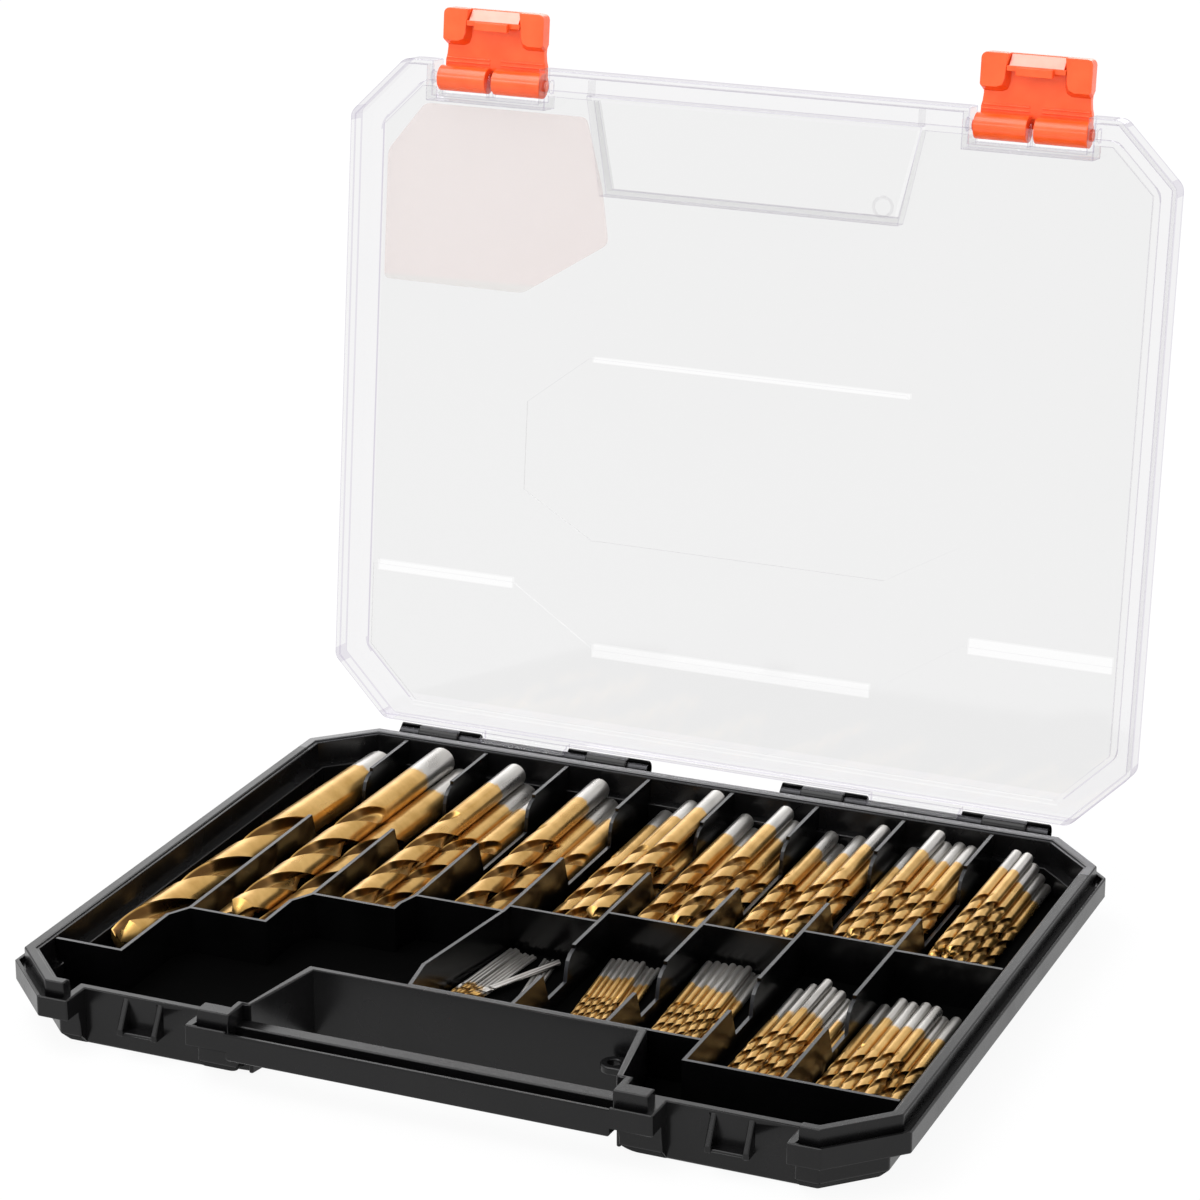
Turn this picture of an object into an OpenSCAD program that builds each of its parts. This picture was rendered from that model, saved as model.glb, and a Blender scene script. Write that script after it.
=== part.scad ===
// Drill bit case: a shallow black tray with a divided insert, a clear hinged lid,
// two snap latches on the lid and fourteen sizes of twist drill. It stands open.
// Origin: middle of the underside. X to the right, Y to the hinge side, Z up.

/* [Tray] */
// Width of the raised rim
rim_w = 230; // [226:1:245]
// Depth of the raised rim
rim_d = 183; // [182.5:0.5:190]
// Leg of the rim's cut corners
rim_corner = 14.7; // [12:0.1:18]
// Height of the tray
base_h = 18.4; // [18:0.1:24]
// Thickness of the raised rim
rim_t = 3.4; // [3:0.1:4]
// How far the rim stands above the flange
rim_up = 3.5; // [3:0.1:4.5]
// How far the flange stands out from the rim
flange_out = 2.3; // [2:0.1:3]
// Height of the flange
flange_h = 5.5; // [5:0.1:6.5]
// Width of the groove between rim and flange lip
groove_w = 1.3; // [1:0.1:1.5]
// Depth of that groove
groove_deep = 1.5; // [1:0.1:2]
// How far the lower body stands in from the rim
body_in = 3.6; // [3:0.1:4]
// Bevel along the bottom edge
foot_bevel = 2.8; // [2:0.1:3]
// Thickness of the tray's floor
floor_t = 3; // [2.6:0.1:3.4]
// Thickness of the set-back wall behind each latch
recess_wall = 1.8; // [1.4:0.1:2.2]

/* [Carrying handle] */
// Width of the finger opening at its back edge
grip_back_w = 86; // [80:1:90]
// Width of the finger opening at its front edge
grip_front_w = 95.2; // [92:0.2:97]
// From the front of the rim to the opening's back edge
grip_back_in = 31; // [28:0.5:32]
// From the front of the rim to the opening's front edge
grip_front_in = 7.2; // [6.8:0.1:8]
// Thickness of the walls round the opening
grip_wall = 1.8; // [1.4:0.1:2.2]
// Height of the handle's underside
grip_low = 7.4; // [6.5:0.1:8]
// Height of the handle's top
grip_high = 14.2; // [13.5:0.1:14.8]
// Thickness of the handle's front wall
grip_skin = 1.5; // [1.2:0.1:2]
// Width of the gap between the handle's two walls
grip_gap = 4.1; // [3.5:0.1:5]
// Outer edge of the solid block at each end of the handle
block_out = 58.5; // [57:0.1:58.6]
// Depth of that block at the rim, front to back
block_t = 4.5; // [4:0.1:5]
// Rounding of the foot under it
foot_round = 4; // [3:0.5:5]
// Outside radius of the hanging eyelet
eyelet_r = 3.4; // [3:0.1:4]
// Radius of the eyelet's hole
eyelet_hole_r = 1.5; // [1.2:0.1:1.8]

/* [Dividers] */
// Thickness of the insert's floor
insert_floor = 2.4; // [2:0.1:3]
// Gap between the insert and the tray's walls
insert_gap = 0.3; // [0.2:0.05:0.5]
// Thickness of each divider
divider_t = 1; // [0.9:0.1:1.3]
// How far the dividers stop below the rim
divider_down = 0.8; // [0.6:0.1:1.6]
// Width of the first long compartment, from the insert's side to the divider's middle
first_comp = 21.6; // [21:0.1:22.8]
// Width of the last long compartment, taken in the same way
last_comp = 28.31; // [27:0.01:29]
// Front end of the finger notch in the long dividers
notch_front = 28.5; // [26:0.5:32]
// Back end of the same notch
notch_back = 65; // [62:0.5:68]
// Front end of the finger notch in the short dividers
low_notch_front = -40; // [-44:0.5:-38]
// Back end of the same notch
low_notch_back = -20.5; // [-22:0.5:-18]
// How far the long dividers' notches lie below the rim
notch_down = 9.8; // [9:0.1:11]
// How far the short dividers' notches lie below the rim
low_notch_down = 8.6; // [8:0.1:9.6]

/* [Lid] */
// Height of the lid
lid_h = 8.4; // [8:0.1:10]
// Thickness of the lid's walls
lid_wall = 1.6; // [1.4:0.1:1.6]
// Thickness of the lid's top
lid_top = 1.5; // [1.2:0.1:1.8]
// Gap between the closed lid and the flange
lid_gap = 0.3; // [0.2:0.1:0.5]
// Width of the low border round the lid's panel
lid_border = 6.2; // [5.5:0.1:6.5]
// How far the border lies below the panel
lid_step = 1.6; // [1:0.1:2]
// How far the lid stands open, from closed
lid_open = 96.4; // [92:0.1:98]
// Depth of the sunk panel over the finger opening
lid_sink = 5; // [4:0.1:5.2]
// Depth of the shallow frame and strip on the panel
lid_relief = 0.6; // [0.4:0.1:0.7]

/* [Hinge] */
// From the flange's back face to the hinge axis
hinge_back = 3.2; // [3.2:0.1:3.6]
// From the flange's top to the hinge axis
hinge_up = 1.4; // [1.3:0.1:1.6]
// Outside radius of the knuckles
knuckle_r = 2.5; // [2.4:0.1:2.7]
// Radius of the hinge pins
pin_r = 1.4; // [1.2:0.1:1.5]
// Running clearance of pins and trunnions, on radius
run_gap = 0.05; // [0.03:0.01:0.08]
// Inner end of each inner knuckle block
inner_knuckle = 19.6; // [18:0.1:21]
// Inner end of each outer knuckle block
outer_knuckle = 71.3; // [70.5:0.1:72]
// Length of each knuckle block
knuckle_len = 24.8; // [23:0.1:25.2]
// Gap between knuckles along the pin
side_gap = 0.3; // [0.2:0.05:0.4]

/* [Latches] */
// Place of each latch from the middle
latch_x = 76.8; // [76.6:0.1:77]
// Width of the latch plate
latch_w = 30; // [28:0.1:30.2]
// Length of the latch barrel from end to end
barrel_w = 30.6; // [30.2:0.1:31]
// Radius of the latch barrel
barrel_r = 3.5; // [3.3:0.1:3.6]
// From the lid's front edge to the latch axis
latch_in = 5; // [4.9:0.1:5.2]
// From the lid's open edge to the latch axis
latch_rise = 4.7; // [4.6:0.1:4.8]
// From the latch axis to the tip of the plate
latch_len = 19.2; // [18.8:0.1:19.4]
// Thickness of the latch plate
latch_t = 2; // [1.8:0.1:2.1]
// From the latch axis to the hooking face of its bar
hook_at = 14.9; // [14.7:0.1:15.1]
// Thickness of the hook bar
hook_t = 1.3; // [1:0.1:1.5]
// How far the hook bar stands off the plate
hook_out = 4.1; // [3.6:0.1:4.3]
// Width of the thick pad at each side of the tip
pad_w = 7.2; // [6:0.1:7.6]
// Length of those pads
pad_len = 10; // [8:0.5:11]
// How far the pads stand off the plate
pad_out = 2.4; // [2:0.1:2.8]
// Radius of the trunnions
trunnion_r = 1.6; // [1.4:0.1:1.8]
// Thickness of the lid's lugs beside the latch
lug_t = 2; // [1.8:0.1:2]

/* [Label] */
// Thickness of the label
label_t = 0.2; // [0.15:0.05:0.3]

/* [Drill bits] */
// Gap between neighbouring bits
bit_gap = 0.06; // [0.04:0.01:0.1]
// Gap between the shank ends and the compartment's back wall
bit_end_gap = 0.6; // [0.3:0.1:0.8]
// How far the largest bit's shank end lies in front of that wall
big_end_gap = 3.2; // [3:0.1:6]

/* [Hidden] */
$fn = 48;
eps = 0.01;

// Heights of the tray
flange_z = base_h - rim_up;
flange_low = flange_z - flange_h;
insert_z = floor_t + insert_floor;
divider_z = base_h - divider_down;
notch_z = base_h - notch_down;
low_notch_z = base_h - low_notch_down;

// Outlines, as insets from the rim
wall_in = body_in + recess_wall;
front = -rim_d / 2;
recess_y = front + body_in + foot_bevel;
recess_in_y = recess_y + recess_wall;
flange_front = front - flange_out;
flange_back = rim_d / 2 + flange_out;
block_in = grip_front_w / 2 + grip_wall + 0.3;

// Latch recess in the tray's front
rim_cut_w = 2 * (latch_x - block_out);
flange_cut_w = latch_w + 2.4;

// Hinge axis
axis_y = flange_back + hinge_back;
axis_z = flange_z + hinge_up;

// Lid, in its closed place
lid_z = flange_z + lid_gap;
lid_up_z = lid_z + lid_h;
lid_border_z = lid_up_z - lid_step;
lug_in = barrel_w / 2 + 0.5;
lug_out = lug_in + lug_t;
latch_y = flange_front + latch_in;
latch_z = lid_z + latch_rise;
notch_y = latch_y + barrel_r + 1;
lid_sink_z = lid_up_z - lid_sink;

// From the front of the rim to the fronts of the nine long compartments, left to right
comp_in = [24.5, 54, 74, 83.5, 87, 93, 96, 102, 100];
comp_front = [for (in = comp_in) front + in];
// From the front of the rim to the fronts of the five short compartments
low_in = [34.5, 34.5, 34.5, 23, 23];
low_front = [for (in = low_in) front + in];
comp_side = rim_w / 2 - rim_t - insert_gap;
divider_step = (2 * comp_side - first_comp - last_comp) / 7;
// How far each divider's lower front stretch stands left of the divider
jog = [3.2, 3.2, 1.6];
// How far the short compartments' left wall bows to the left
low_jog = 4.6;
// Length of a jog, front to back
jog_run = 6;

function divider_x(i) = first_comp - comp_side + i * divider_step;
function comp_left(i) = i == 0 ? -comp_side + divider_t : divider_x(i - 1) + divider_t / 2;
function comp_right(i) = i == 8 ? comp_side - divider_t : divider_x(i) - divider_t / 2;

// Back faces of the long compartments, and of the short one in front of each
long_back = rim_d / 2 - wall_in;
function low_back(i) = comp_front[i] - divider_t;

// Diameters of the drills in the long and in the short compartments
big_d = [10, 8, 6.5, 6, 5, 4.5, 4, 3.5, 3.2];
small_d = [1, 1.5, 2, 2.5, 3];
// How much longer each compartment is than its drills
big_slack = [20.1, 6.6, 2.6, 1.1, 4.6, 4.6, 6.6, 5.6, 12.6];
small_slack = [17.5, 17.5, 11.5, 21, 15];
function big_long(i) = long_back - comp_front[i] - big_slack[i];
function small_long(i) = low_back(i + 4) - low_front[i] - small_slack[i];

plastic = [0.06, 0.06, 0.065];
clear = [0.88, 0.9, 0.92, 0.35];
orange = [1, 0.36, 0.14];
gold = [0.8, 0.62, 0.34];

// Rectangle with its four corners cut at 45 degrees, inset from the rim's outline.
module outline(inset) {
    w = rim_w / 2 - inset;
    d = rim_d / 2 - inset;
    c = rim_corner - (2 - sqrt(2)) * inset;
    polygon([[-w + c, -d], [w - c, -d], [w, -d + c], [w, d - c],
        [w - c, d], [-w + c, d], [-w, d - c], [-w, -d + c]]);
}

// The same outline as a slab between two heights.
module slab(inset, low, high) {
    translate([0, 0, low]) linear_extrude(high - low) outline(inset);
}

// A box between two corners.
module block(a, b) {
    translate(a) cube(b - a);
}

// Plan of a straight wall of the divider thickness between two points.
module wall(a, b) {
    run = b - a;
    t = divider_t;
    translate(a) rotate(atan2(run[1], run[0])) translate([-t / 2, -t / 2]) square([norm(run) + t, t]);
}

// Both sides of the case.
module both() {
    children();
    mirror([1, 0, 0]) children();
}

// The plan of the finger opening, grown by g.
module grip_plan(g) {
    back = front + grip_back_in + g;
    fore = front + grip_front_in - g;
    polygon([[-grip_back_w / 2 - g, back], [grip_back_w / 2 + g, back],
        [grip_front_w / 2 + g, fore], [-grip_front_w / 2 - g, fore]]);
}

// ---------------------------------------------------------------- tray

// The hollow of the tray, and with a gap what fits into it: between the side walls,
// behind the front walls, and clear of the finger opening.
module cavity(inset, gap = 0) {
    difference() {
        outline(inset + gap);
        translate([-latch_x - rim_cut_w / 2, front])
            square([2 * latch_x + rim_cut_w, recess_in_y - front + gap]);
        grip_plan(grip_wall + gap);
    }
}

// One snap catch: two sloping ribs and the ledge that the latch hooks under.
module catch(x) {
    low = latch_z - hook_at + 0.6;
    rib_x = 4.7;
    rib_t = 1.7;
    reach = 4;
    for (s = [-1, 1]) translate([x + s * rib_x - rib_t / 2, recess_y + eps, 0])
        rotate([90, 0, 90]) linear_extrude(rib_t)
            polygon([[0, flange_z - 0.8], [-reach, low + 1.4], [-reach, low], [0, low]]);
    block([x - rib_x, recess_y - reach + 0.6, low], [x + rib_x, recess_y + eps, low + 1]);
}

// One knuckle block: a full barrel in the middle, and at both ends only its rear half,
// where the pin can be seen from the tray.
module knuckle_block(x) {
    quarter = knuckle_len / 4;
    difference() {
        union() {
            translate([x, axis_y, axis_z]) rotate([0, 90, 0]) cylinder(h = knuckle_len, r = knuckle_r);
            block([x, flange_back - eps, flange_low + 1.2], [x + knuckle_len, axis_y, flange_z]);
        }
        translate([x - 1, axis_y, axis_z]) rotate([0, 90, 0])
            cylinder(h = knuckle_len + 2, r = pin_r + run_gap);
        for (a = [x - eps, x + 3 * quarter])
            block([a, flange_back - 1, axis_z], [a + quarter + eps, axis_y + 0.6, axis_z + knuckle_r + 1]);
    }
}

// The handle: a channel open at the top, between the two front blocks.
module handle() {
    x = block_in + eps;
    back = front + grip_front_in;
    block([-x, flange_front, grip_low], [x, flange_front + grip_skin, grip_high]);
    block([-x, flange_front + grip_skin + grip_gap, grip_low], [x, back, grip_high]);
    block([-x, flange_front, grip_low], [x, back, grip_low + grip_skin]);
}

// A flat tab with a hole in the opening's right rear corner.
module eyelet() {
    x = grip_back_w / 2 - 0.8;
    y = front + grip_back_in - 4.2;
    translate([x - eyelet_r, y, grip_high - 5]) difference() {
        union() {
            cylinder(h = 2, r = eyelet_r);
            translate([0, -eyelet_r, 0]) cube([eyelet_r + 3, 2 * eyelet_r, 2]);
        }
        translate([0, 0, -1]) cylinder(h = 4, r = eyelet_hole_r);
    }
}

module base_shell() {
    color(plastic) {
        difference() {
            union() {
                difference() {
                    union() {
                        hull() {
                            slab(body_in + foot_bevel, 0, eps);
                            slab(body_in, foot_bevel, foot_bevel + eps);
                        }
                        slab(body_in, foot_bevel, flange_low + eps);
                        slab(-flange_out, flange_low, flange_z);
                        slab(0, flange_z - eps, base_h);
                    }
                    // groove between the rim and the flange's lip
                    translate([0, 0, flange_z - groove_deep]) linear_extrude(groove_deep + 1)
                        difference() {
                            outline(-groove_w);
                            outline(0);
                            for (s = [-1, 1]) translate([s * latch_x - rim_cut_w / 2, flange_front])
                                square([rim_cut_w, flange_out]);
                        }
                    // hollow, narrower below the flange
                    translate([0, 0, floor_t]) linear_extrude(base_h) cavity(wall_in);
                    translate([0, 0, flange_low + recess_wall]) linear_extrude(base_h) cavity(rim_t);
                    // fine step along the rim's inner edge
                    translate([0, 0, base_h - 0.5]) linear_extrude(1) cavity(rim_t - 0.7);
                    // rim and flange cut away in front of each latch
                    both() {
                        block([latch_x - rim_cut_w / 2, flange_front - 1, flange_z],
                            [latch_x + rim_cut_w / 2, recess_in_y + eps, base_h + 1]);
                        block([latch_x - flange_cut_w / 2, flange_front - 1, -1],
                            [latch_x + flange_cut_w / 2, recess_y, flange_z + 1]);
                    }
                    // front between the handle's blocks
                    block([-block_in, flange_front - 1, -1],
                        [block_in, front + grip_front_in + eps, base_h + 1]);
                    both() {
                        // room behind each block, at the rim
                        block([block_in + grip_wall, front + block_t, flange_z],
                            [block_out + eps, recess_in_y + eps, base_h + 1]);
                        // rounded end of the foot under it
                        translate([block_in, recess_in_y, 0]) rotate([90, 0, 0])
                            linear_extrude(recess_in_y - front) difference() {
                                translate([-1, -1]) square(foot_round + 1);
                                translate([foot_round, foot_round]) circle(foot_round);
                            }
                    }
                }
                handle();
            }
            // finger opening
            translate([0, 0, -1]) linear_extrude(base_h + 2) grip_plan(0);
        }
        eyelet();
        both() {
            catch(latch_x);
            knuckle_block(inner_knuckle);
            knuckle_block(outer_knuckle);
        }
    }
}

// ---------------------------------------------------------------- insert

// The room that the tray leaves for the insert.
module insert_room() {
    step_z = flange_low + recess_wall;
    translate([0, 0, floor_t]) linear_extrude(base_h) cavity(wall_in, insert_gap);
    translate([0, 0, step_z + insert_gap]) linear_extrude(base_h) cavity(rim_t, insert_gap);
}

// Plan of the insert's walls, run out past the room on every side.
module divider_plan() {
    half = divider_t / 2;
    side = rim_w / 2;
    // long dividers; the first three jog to the left in front of a compartment's front
    for (i = [0 : 7]) {
        x = divider_x(i);
        step = i < 3 ? jog[i] : 0;
        fore = min(comp_front[i], comp_front[i + 1]) - half;
        aft = max(comp_front[i], comp_front[i + 1]) - half;
        wall([x, step > 0 ? aft : fore], [x, rim_d / 2]);
        if (step > 0) {
            wall([x, aft], [x - step, aft - jog_run]);
            wall([x - step, aft - jog_run], [x - step, fore]);
        }
    }
    // front of each long compartment
    for (i = [0 : 8]) {
        y = comp_front[i] - half;
        wall([i == 0 ? -side : divider_x(i - 1), y],
            [i == 8 ? side : divider_x(i) - (i < 3 ? jog[i] : 0), y]);
    }
    // left wall of the short compartments, with its slanted stretches
    x = divider_x(3);
    y = low_front[0] - half;
    wall([x, comp_front[3] - half], [x - low_jog, y + 2 * jog_run]);
    wall([x - low_jog, y + 2 * jog_run], [x - low_jog + 2, y]);
    // short dividers
    for (i = [4 : 7]) wall([divider_x(i), min(low_front[i - 4], low_front[i - 3]) - half],
        [divider_x(i), comp_front[i] - half]);
    // front of the short compartments
    deep = low_front[4] - half;
    wall([x - low_jog + 2, y], [divider_x(6), y]);
    wall([divider_x(6), deep], [side, deep]);
}

// A finger notch across the dividers from x0 to x1, with its floor at low. Its front edge
// slopes and its back edge rises in a soft curve to a small shoulder.
module notch(x0, x1, y0, y1, low) {
    lean = 3;
    translate([x0, 0, 0]) rotate([90, 0, 90]) linear_extrude(x1 - x0)
        polygon([[y0, divider_z + 1], [y0, divider_z], [y0 + lean, low], [y1 - 1.8 * lean, low],
            [y1 - 1.6 * lean, divider_z - 5], [y1 - 1.3 * lean, divider_z - 2.8],
            [y1 - 0.7 * lean, divider_z - 1.5], [y1 - eps, divider_z - 1], [y1, divider_z + 1]]);
}

module divider_insert() {
    color(plastic) {
        translate([0, 0, floor_t]) linear_extrude(insert_floor) cavity(wall_in, insert_gap);
        difference() {
            intersection() {
                translate([0, 0, floor_t + eps]) linear_extrude(divider_z - floor_t - eps) divider_plan();
                insert_room();
            }
            notch(-comp_side, comp_side, notch_front, notch_back, notch_z);
            notch(divider_x(4) - divider_t, comp_side, low_notch_front, low_notch_back, low_notch_z);
        }
    }
}

// ---------------------------------------------------------------- lid

// Turns what is drawn in the closed lid's place to where the open lid stands.
module opened() {
    translate([0, axis_y, axis_z]) rotate([-lid_open, 0, 0]) translate([0, -axis_y, -axis_z])
        children();
}

// Plan of the sunk panel over the finger opening, grown by g.
module sink_plan(g) {
    back = front + grip_back_in - 1.9 + g;
    fore = flange_front + lid_border + lid_wall - g;
    polygon([[-grip_back_w / 2 + 2 - g, back], [grip_back_w / 2 - 2 + g, back],
        [grip_front_w / 2 - 1.5 + g, fore], [-grip_front_w / 2 + 1.5 - g, fore]]);
}

// Plan of the shallow frame in the middle of the panel.
module frame_plan() {
    polygon([[-46, -15], [46, -15], [64, -1], [64, 24], [43, 36], [-43, 36], [-64, 24], [-64, -1]]);
}

// Plan of the lower strip along the hinge side of the panel.
module strip_plan() {
    far = rim_d;
    polygon([[-rim_w, 51], [-66, 51], [-41, 67], [41, 67], [66, 51], [rim_w, 51],
        [rim_w, far], [-rim_w, far]]);
}

// Walls, lugs and thin middle web round one latch.
module latch_seat(x) {
    web = 0.5;
    ring = trunnion_r + 1.2;
    for (s = [-1, 1]) translate([x, 0, 0]) scale([s, 1, 1])
        block([lug_in, flange_front, lid_z], [lug_out, notch_y + lid_wall, lid_border_z]);
    block([x - lug_out, notch_y, lid_z], [x + lug_out, notch_y + lid_wall, lid_border_z]);
    translate([x - web, latch_y, latch_z]) rotate([0, 90, 0]) cylinder(h = 2 * web, r = ring);
    block([x - web, latch_y, latch_z - ring], [x + web, notch_y + eps, latch_z + trunnion_r]);
}

// The bore through both lugs and the web for one latch's shaft.
module latch_bore(x) {
    translate([x - lug_out - eps, latch_y, latch_z]) rotate([0, 90, 0])
        cylinder(h = 2 * (lug_out + eps), r = trunnion_r + run_gap);
}

// One lid knuckle, between the two knuckle blocks of the tray.
module lid_knuckle() {
    x = inner_knuckle + knuckle_len + side_gap;
    run = outer_knuckle - side_gap - x;
    difference() {
        union() {
            translate([x, axis_y, axis_z]) rotate([0, 90, 0]) cylinder(h = run, r = knuckle_r);
            block([x, flange_back - lid_wall / 2, axis_z], [x + run, axis_y, axis_z + knuckle_r]);
        }
        translate([x - 1, axis_y, axis_z]) rotate([0, 90, 0]) cylinder(h = run + 2, r = pin_r + run_gap);
    }
}

module lid_shell() {
    panel = lid_border - flange_out;
    color(clear) opened() difference() {
        union() {
            difference() {
                union() {
                    slab(-flange_out, lid_z, lid_border_z);
                    slab(panel, lid_border_z - eps, lid_up_z);
                }
                slab(lid_wall - flange_out, lid_z - 1, lid_border_z - lid_top);
                slab(panel + lid_wall, lid_z - 1, lid_up_z - lid_top);
                both() block([latch_x - lug_in, flange_front - 1, lid_z - 1],
                    [latch_x + lug_in, notch_y + eps, lid_up_z + 1]);
                translate([0, 0, lid_up_z - lid_relief]) linear_extrude(1) frame_plan();
                translate([0, 0, lid_up_z - lid_relief]) linear_extrude(1) intersection() {
                    strip_plan();
                    outline(panel + 1.2);
                }
            }
            translate([0, 0, lid_sink_z - lid_top]) linear_extrude(lid_sink - lid_step + lid_top)
                sink_plan(lid_wall);
            both() {
                latch_seat(latch_x);
                lid_knuckle();
            }
        }
        translate([0, 0, lid_sink_z]) linear_extrude(lid_h) sink_plan(0);
        both() latch_bore(latch_x);
    }
}

// A plain label on the outside of the lid, in its front left corner.
module lid_label() {
    side = rim_w / 2 - lid_border + flange_out - 1.5;
    fore = front + 10.5;
    near = -grip_back_w / 2;
    color("white") opened() translate([0, 0, lid_up_z]) linear_extrude(label_t)
        polygon([[-side, fore + 14], [-side + 11, fore], [near - 7, fore], [near - 1.5, fore + 19],
            [near + 1, fore + 34], [near - 24, fore + 50], [-side, fore + 50]]);
}

// ---------------------------------------------------------------- hinge and latches

module hinge_pin() {
    x = inner_knuckle + side_gap;
    color(plastic) translate([x, axis_y, axis_z]) rotate([0, 90, 0])
        cylinder(h = outer_knuckle + knuckle_len - side_gap - x, r = pin_r);
}

module hinge_pin_left() {
    mirror([1, 0, 0]) hinge_pin();
}

module hinge_pin_right() {
    hinge_pin();
}

// A latch, turned up level with the lid: its plate points away from the lid.
module latch(x) {
    plate_z = barrel_r - latch_t;
    half = latch_w / 2;
    color(orange) opened() translate([x, latch_y, latch_z]) {
        difference() {
            union() {
                block([-half, -latch_len, plate_z], [half, 0, barrel_r]);
                translate([-barrel_w / 2, 0, 0]) rotate([0, 90, 0]) cylinder(h = barrel_w, r = barrel_r);
            }
            block([-1, -barrel_r - 1, -barrel_r - 1], [1, barrel_r + 1, barrel_r + 1]);
        }
        // shaft through the middle web, and the trunnions
        translate([side_gap - lug_out, 0, 0]) rotate([0, 90, 0])
            cylinder(h = 2 * (lug_out - side_gap), r = trunnion_r);
        // hook bar
        block([-half + pad_w - eps, -hook_at - hook_t, plate_z - hook_out],
            [half - pad_w + eps, -hook_at, plate_z + eps]);
        // pads
        for (s = [-1, 1]) scale([s, 1, 1])
            block([half - pad_w, -latch_len, plate_z - pad_out],
                [half, pad_len - latch_len, plate_z + eps]);
    }
}

module latch_left() {
    latch(-latch_x);
}

module latch_right() {
    latch(latch_x);
}

// ---------------------------------------------------------------- drill bits

// A twist drill, lying with its shank end at the origin and its point at -Y.
module bit(d, long) {
    point = 0.3 * d;
    rotate([90, 0, 0]) {
        cylinder(h = long - point, r = d / 2);
        translate([0, 0, long - point]) cylinder(h = point, r1 = d / 2, r2 = 0.05);
    }
}

// A pile of drills whose shank ends lie near y, a little uneven. Each row lists its filled
// slots; they lie in the grooves of the row below, and x is the lowest row's first slot.
// The slots may be spread wider than the drills.
module pile(x, y, rows, d, long, uneven = 0.9, yaw = 0, up = 0, spread = 0) {
    touch = d + bit_gap;
    step = touch + spread;
    rise = sqrt(touch * touch - step * step / 4);
    color(gold) translate([x, y, insert_z + bit_gap + d / 2 + up * touch]) rotate([0, 0, yaw])
        for (r = [0 : len(rows) - 1]) for (k = rows[r])
            translate([(k + r / 2) * step, -(2 * k + 3 * r) % 4 * uneven, r * rise]) bit(d, long);
}

// A pile in one of the long compartments, standing off its left wall.
module big_pile(i, off, rows, uneven = 0.5, back = bit_end_gap, yaw = 0, spread = 0) {
    d = big_d[i];
    pile(comp_left(i) + off + d / 2, long_back - back, rows, d, big_long(i), uneven, yaw,
        spread = spread);
}

// A pile in one of the short compartments, standing off its left and back walls.
module small_pile(i, off, back, rows, uneven = 0.5, yaw = 0, up = 0) {
    d = small_d[i];
    pile(comp_left(i + 4) + off + d / 2, low_back(i + 4) - back, rows, d, small_long(i),
        uneven, yaw, up);
}

module bit_10mm() {
    lean = 3.4;
    d = big_d[0];
    color(gold)
        translate([comp_right(0) - d / 2 - 0.3, long_back - big_end_gap, insert_z + bit_gap + d / 2])
            rotate([0, 0, -lean]) bit(d, big_long(0));
}

module bits_8mm() {
    big_pile(1, 2.7, [[0, 1], [0]], yaw = -1.2, spread = 3.6);
}

module bits_6_5mm() {
    big_pile(2, 3.8, [[0, 1, 2], [0]], yaw = -1);
}

module bits_6mm() {
    big_pile(3, 4.6, [[0, 1, 2], [0]], uneven = 0.1);
}

module bits_5mm() {
    big_pile(4, 3.3, [[0 : 3], [1, 2], [2]]);
}

module bits_4_5mm() {
    big_pile(5, 0.6, [[0 : 4], [0, 2, 3], [2]]);
}

module bits_4mm() {
    big_pile(6, 1.2, [[0 : 4], [0, 2, 3, 4], [3]]);
}

module bits_3_5mm() {
    big_pile(7, 0.2, [[0 : 5], [0 : 5], [1 : 4], [1]]);
}

module bits_3_2mm() {
    big_pile(8, 1.8, [[0 : 4], [0 : 3], [0 : 2], [0, 1]], uneven = 0.4, back = 3.8);
}

module bits_1mm() {
    small_pile(0, 0.4, 1.5, [[0 : 7], [0 : 2]], uneven = 0.3, yaw = -6);
    small_pile(0, 10.5, 3, [[0 : 3]], yaw = 8);
    // two that lie across the others
    small_pile(0, 15, 4.5, [[0, 1]], uneven = 0.3, yaw = -25, up = 1);
}

module bits_1_5mm() {
    small_pile(1, 2.1, 5, [[0 : 8], [0 : 5]], uneven = 0.3, yaw = 6);
}

module bits_2mm() {
    small_pile(2, 0.5, 1.5, [[0 : 7], [0 : 5]], uneven = 0.3, yaw = 3);
}

module bits_2_5mm() {
    small_pile(3, 2.4, 12, [[0 : 7], [1, 2, 3, 4, 6], [2]]);
}

module bits_3mm() {
    small_pile(4, 0.3, 11, [[0 : 6], [1 : 4]]);
}

base_shell();
divider_insert();
hinge_pin_left();
hinge_pin_right();
lid_shell();
lid_label();
latch_left();
latch_right();
bit_10mm();
bits_8mm();
bits_6_5mm();
bits_6mm();
bits_5mm();
bits_4_5mm();
bits_4mm();
bits_3_5mm();
bits_3_2mm();
bits_1mm();
bits_1_5mm();
bits_2mm();
bits_2_5mm();
bits_3mm();
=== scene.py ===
import math
import random

import bmesh
import bpy
from mathutils import Matrix, Vector


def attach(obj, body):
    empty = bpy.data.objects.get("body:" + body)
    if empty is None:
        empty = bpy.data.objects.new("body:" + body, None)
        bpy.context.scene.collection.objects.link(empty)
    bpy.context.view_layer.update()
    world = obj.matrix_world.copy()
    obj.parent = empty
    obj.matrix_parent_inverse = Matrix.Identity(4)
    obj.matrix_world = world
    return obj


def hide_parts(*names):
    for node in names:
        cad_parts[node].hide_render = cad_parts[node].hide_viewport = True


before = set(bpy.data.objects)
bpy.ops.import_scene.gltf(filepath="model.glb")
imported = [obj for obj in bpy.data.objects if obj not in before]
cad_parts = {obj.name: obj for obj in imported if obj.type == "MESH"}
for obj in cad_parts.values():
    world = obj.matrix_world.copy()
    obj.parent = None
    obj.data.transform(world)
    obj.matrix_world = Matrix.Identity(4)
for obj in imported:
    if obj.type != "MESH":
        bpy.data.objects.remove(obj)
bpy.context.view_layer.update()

MM = 0.001
scene = bpy.context.scene

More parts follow.
